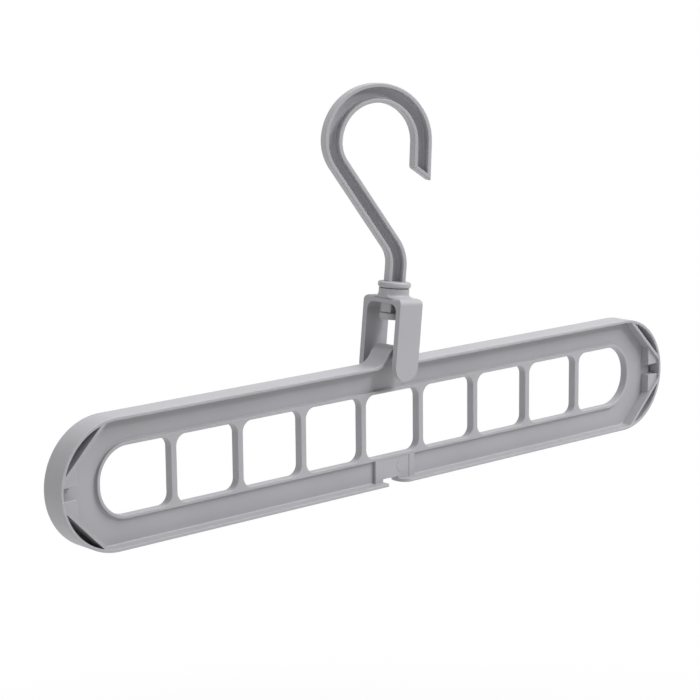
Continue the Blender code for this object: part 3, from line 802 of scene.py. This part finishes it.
def limb():
    """The bent limb as one closed surface: a channel up to the tip's rim, then a solid slanted end."""
    mesh = bmesh.new()
    line = centreline()
    end_point, end_normal, end_half = line[-1]
    along = Vector((end_normal.y, -end_normal.x))
    tip = end_point + along * TIP_LENGTH
    rim = tip - along * TIP_RIM / math.cos(TIP_CUT)
    rings = []
    for point, normal, half in line + [(rim, end_normal, end_half)]:
        side = limb_side(half)
        channel = channel_side(half)
        section = side + flipped(side) + flipped(channel) + channel
        slant = math.tan(TIP_CUT) if point is rim else 0.0
        rings.append(limb_ring(mesh, point, normal, section, [across * slant for across, depth in section]))
    bridge_all(mesh, rings)
    mesh.faces.new(rings[0])
    limb_end(mesh, rings[-1], tip, end_normal, end_half)
    return made("hook_moulding", mesh, HOOK_PLACE)


def limb_end(mesh, last, tip, normal, half):
    """Close the channel at the tip's rim and take the limb's outside on to the slanted, rounded end."""
    count = 2 * len(limb_side(half))
    mesh.faces.new(last[count:])
    along = Vector((normal.y, -normal.x))
    wide = half - LIMB_RIM + RIM_EDGE
    open_ring = last[:count] + [last[count], last[-1]]
    for step_in, down in quarter_edge(LIMB_EDGE):
        side = limb_side(half, step_in)
        face = -LIMB_THICKNESS / 2 + step_in
        section = side + flipped(side) + [(-wide, face), (wide, face)]
        drops = [tip_drop(across, half - step_in, TIP_CORNER - step_in) for across, depth in section]
        next_ring = limb_ring(mesh, tip - along * down / math.cos(TIP_CUT), normal, section, drops)
        bridge(mesh, open_ring, next_ring)
        open_ring = next_ring
    close_tip(mesh, open_ring)


def close_tip(mesh, end):
    """The slanted end face, in strips where it runs round the two sides."""
    count = (len(end) - 2) // 2
    middle = count // 2
    right = end[:count]
    left = end[count:2 * count]
    mesh.faces.new([right[0], right[-1], left[0], left[-1], end[-2], end[-1]])
    for side in (right, left):
        for i in range(middle - 1):
            mesh.faces.new([side[i], side[i + 1], side[count - 2 - i], side[count - 1 - i]])
        mesh.faces.new([side[middle - 1], side[middle], side[middle + 1]])


def hook_shaft():
    """Collar under the limb, journal that turns in the neck, and the smaller end that takes the cap."""
    end = CAP_BASE + CAP_FLOOR + SPIGOT_END_GAP
    edge = quarter_edge(COLLAR_EDGE)
    profile = [(CORE_RADIUS, COLLAR_TOP)]
    profile += [(COLLAR_RADIUS - step_in, COLLAR_TOP - down) for step_in, down in edge[::-1]]
    profile += [(COLLAR_RADIUS - step_in, COLLAR_BASE + down) for step_in, down in edge]
    profile += [(JOURNAL_RADIUS, COLLAR_BASE), (JOURNAL_RADIUS, CROWN_UNDERSIDE)]
    profile += [(SPIGOT_RADIUS, CROWN_UNDERSIDE), (SPIGOT_RADIUS, end), (CORE_RADIUS, end)]
    return lathe_object("collar", HOOK_PLACE, profile)


def build_hook():
    hook = limb()
    shaft = hook_shaft()
    combine(hook, "UNION", shaft)
    settle(hook, shaft)
    smooth(hook)
    return hook


def build_cap():
    bore = SPIGOT_RADIUS + PRESS_CLEARANCE
    floor = CAP_BASE + CAP_FLOOR
    profile = [(CORE_RADIUS, floor), (bore, floor), (bore, CAP_TOP)]
    profile += [(CAP_RADIUS - step_in, CAP_TOP - down) for step_in, down in quarter_edge(CAP_EDGE)[::-1]]
    profile += [(CAP_RADIUS - step_in, CAP_BASE + down) for step_in, down in quarter_edge(CAP_EDGE)]
    profile += [(CORE_RADIUS, CAP_BASE)]
    cap = lathe_object("cap_moulding", HOOK_PLACE, profile)
    smooth(cap)
    return cap


# Materials


def noise(tree, place, scale, detail):
    texture = tree.nodes.new("ShaderNodeTexNoise")
    texture.inputs["Scale"].default_value = scale
    texture.inputs["Detail"].default_value = detail
    tree.links.new(place, texture.inputs["Vector"])
    return texture.outputs["Fac"]


def plastic(name, colour, roughness):
    """Fine matte moulded plastic: faint clouding, and a fine grain in its gloss and its surface."""
    material = bpy.data.materials.new(name)
    material.use_nodes = True
    tree = material.node_tree
    shader = tree.nodes["Principled BSDF"]
    shader.inputs["IOR"].default_value = PLASTIC_IOR
    place = tree.nodes.new("ShaderNodeTexCoord").outputs["Object"]

    tone = tree.nodes.new("ShaderNodeValToRGB")
    for stop, position, strength in zip(tone.color_ramp.elements, CLOUD_RANGE, CLOUD_TONES):
        stop.position = position
        stop.color = (*[c * strength for c in colour], 1.0)
    tree.links.new(noise(tree, place, CLOUD_SCALE, CLOUD_DETAIL), tone.inputs["Fac"])
    tree.links.new(tone.outputs["Color"], shader.inputs["Base Color"])

    grain = noise(tree, place, GRAIN_SCALE, GRAIN_DETAIL)
    gloss = tree.nodes.new("ShaderNodeMapRange")
    gloss.inputs["To Min"].default_value = roughness + GRAIN_GLOSS[0]
    gloss.inputs["To Max"].default_value = roughness + GRAIN_GLOSS[1]
    tree.links.new(grain, gloss.inputs["Value"])
    tree.links.new(gloss.outputs["Result"], shader.inputs["Roughness"])

    bump = tree.nodes.new("ShaderNodeBump")
    bump.inputs["Strength"].default_value = GRAIN_STRENGTH
    bump.inputs["Distance"].default_value = GRAIN_DEPTH
    tree.links.new(grain, bump.inputs["Height"])
    tree.links.new(bump.outputs["Normal"], shader.inputs["Normal"])
    return material


# Studio


def seen_directly(tree):
    """A socket that is 1 for rays from the camera, a shiny surface or a clear one, and otherwise 0."""
    path = tree.nodes.new("ShaderNodeLightPath")
    total = path.outputs["Is Camera Ray"]
    for ray in ("Is Glossy Ray", "Is Transmission Ray"):
        larger = tree.nodes.new("ShaderNodeMath")
        larger.operation = "MAXIMUM"
        tree.links.new(total, larger.inputs[0])
        tree.links.new(path.outputs[ray], larger.inputs[1])
        total = larger.outputs["Value"]
    return total


def white_share(tree):
    """How much plain white the floor shows: more away from the object, and only where seen directly."""
    place = tree.nodes.new("ShaderNodeTexCoord")
    away = tree.nodes.new("ShaderNodeVectorMath")
    away.operation = "LENGTH"
    tree.links.new(place.outputs["Object"], away.inputs[0])
    fade = tree.nodes.new("ShaderNodeMapRange")
    fade.inputs["From Min"].default_value = FADE_START
    fade.inputs["From Max"].default_value = FADE_END
    fade.inputs["To Min"].default_value = WHITE_NEAR
    fade.inputs["To Max"].default_value = WHITE_FAR
    tree.links.new(away.outputs["Value"], fade.inputs["Value"])
    share = tree.nodes.new("ShaderNodeMath")
    share.operation = "MULTIPLY"
    tree.links.new(fade.outputs["Result"], share.inputs[0])
    tree.links.new(seen_directly(tree), share.inputs[1])
    return share.outputs["Value"]


def floor_white():
    """Pale matte floor that keeps the object's shadow and fades to plain white around it."""
    material = bpy.data.materials.new("studio_white")
    material.use_nodes = True
    tree = material.node_tree
    shader = tree.nodes["Principled BSDF"]
    shader.inputs["Base Color"].default_value = (FLOOR_TONE, FLOOR_TONE, FLOOR_TONE, 1.0)
    shader.inputs["Roughness"].default_value = FLOOR_ROUGHNESS
    white = tree.nodes.new("ShaderNodeEmission")
    white.inputs["Strength"].default_value = 1.0
    mix = tree.nodes.new("ShaderNodeMixShader")
    tree.links.new(white_share(tree), mix.inputs["Fac"])
    tree.links.new(shader.outputs["BSDF"], mix.inputs[1])
    tree.links.new(white.outputs["Emission"], mix.inputs[2])
    tree.links.new(mix.outputs["Shader"], tree.nodes["Material Output"].inputs["Surface"])
    return material


def build_floor():
    """A wide floor well below the hanging object."""
    mesh = bmesh.new()
    bmesh.ops.create_grid(mesh, x_segments=2, y_segments=2, size=FLOOR_REACH)
    data = bpy.data.meshes.new("studio_floor")
    mesh.to_mesh(data)
    mesh.free()
    data.materials.append(floor_white())
    floor = bpy.data.objects.new("studio_floor", data)
    floor.location = (RAIL_CENTRE.x, RAIL_CENTRE.y, RAIL_LOW.z - FLOOR_DROP)
    bpy.context.scene.collection.objects.link(floor)


def build_sky():
    """A soft even sky, which is plain white where it is seen directly."""
    world = bpy.data.worlds.new("studio")
    bpy.context.scene.world = world
    world.use_nodes = True
    tree = world.node_tree
    sky = tree.nodes["Background"]
    sky.inputs["Color"].default_value = (1.0, 1.0, 1.0, 1.0)
    sky.inputs["Strength"].default_value = SKY_STRENGTH
    white = tree.nodes.new("ShaderNodeBackground")
    white.inputs["Color"].default_value = (1.0, 1.0, 1.0, 1.0)
    mix = tree.nodes.new("ShaderNodeMixShader")
    tree.links.new(seen_directly(tree), mix.inputs["Fac"])
    tree.links.new(sky.outputs["Background"], mix.inputs[1])
    tree.links.new(white.outputs["Background"], mix.inputs[2])
    tree.links.new(mix.outputs["Shader"], tree.nodes["World Output"].inputs["Surface"])


def area_light(name, offset, size, power):
    """A round soft lamp that stands off from the rail's centre and is aimed at it."""
    data = bpy.data.lights.new(name, "AREA")
    data.shape = "DISK"
    data.size = size
    data.energy = power
    lamp = bpy.data.objects.new(name, data)
    lamp.location = RAIL_CENTRE + Vector(offset)
    lamp.rotation_euler = (-Vector(offset)).to_track_quat("-Z", "Y").to_euler()
    bpy.context.scene.collection.objects.link(lamp)


def build_studio():
    """Floor, sky, large lamps at the front right, above, behind and at the left, and a small front lamp."""
    build_floor()
    build_sky()
    for name, lamp in LAMPS.items():
        area_light(name, **lamp)


def build_camera():
    data = bpy.data.cameras.new("photo_camera")
    data.lens = CAMERA_LENS
    data.sensor_width = SENSOR
    camera = bpy.data.objects.new("photo_camera", data)
    turn = Matrix.Rotation(-CAMERA_YAW, 4, "Z") @ Matrix.Rotation(QUARTER - CAMERA_DOWN, 4, "X")
    turn = turn @ Matrix.Rotation(CAMERA_ROLL, 4, "Z")
    camera.matrix_world = Matrix.Translation(RAIL_CENTRE + Vector(CAMERA_PLACE)) @ turn
    bpy.context.scene.collection.objects.link(camera)
    bpy.context.scene.camera = camera
    bpy.context.scene.view_settings.view_transform = "Standard"


def main():
    builders = {
        "rail": (build_rail, "rail", plastic("rail_plastic", GREY, RAIL_ROUGHNESS)),
        "yoke": (build_yoke, "yoke", plastic("yoke_plastic", GREY, YOKE_ROUGHNESS)),
        "hook": (build_hook, "hook", plastic("hook_plastic", GREY, HOOK_ROUGHNESS)),
        "hook_retaining_cap": (build_cap, "hook", plastic("cap_plastic", GREY, CAP_ROUGHNESS)),
    }
    for node, (build, body, material) in builders.items():
        piece = build()
        piece.data.materials.clear()
        piece.data.materials.append(material)
        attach(piece, body)
        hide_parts(node)
    build_studio()
    build_camera()


main()
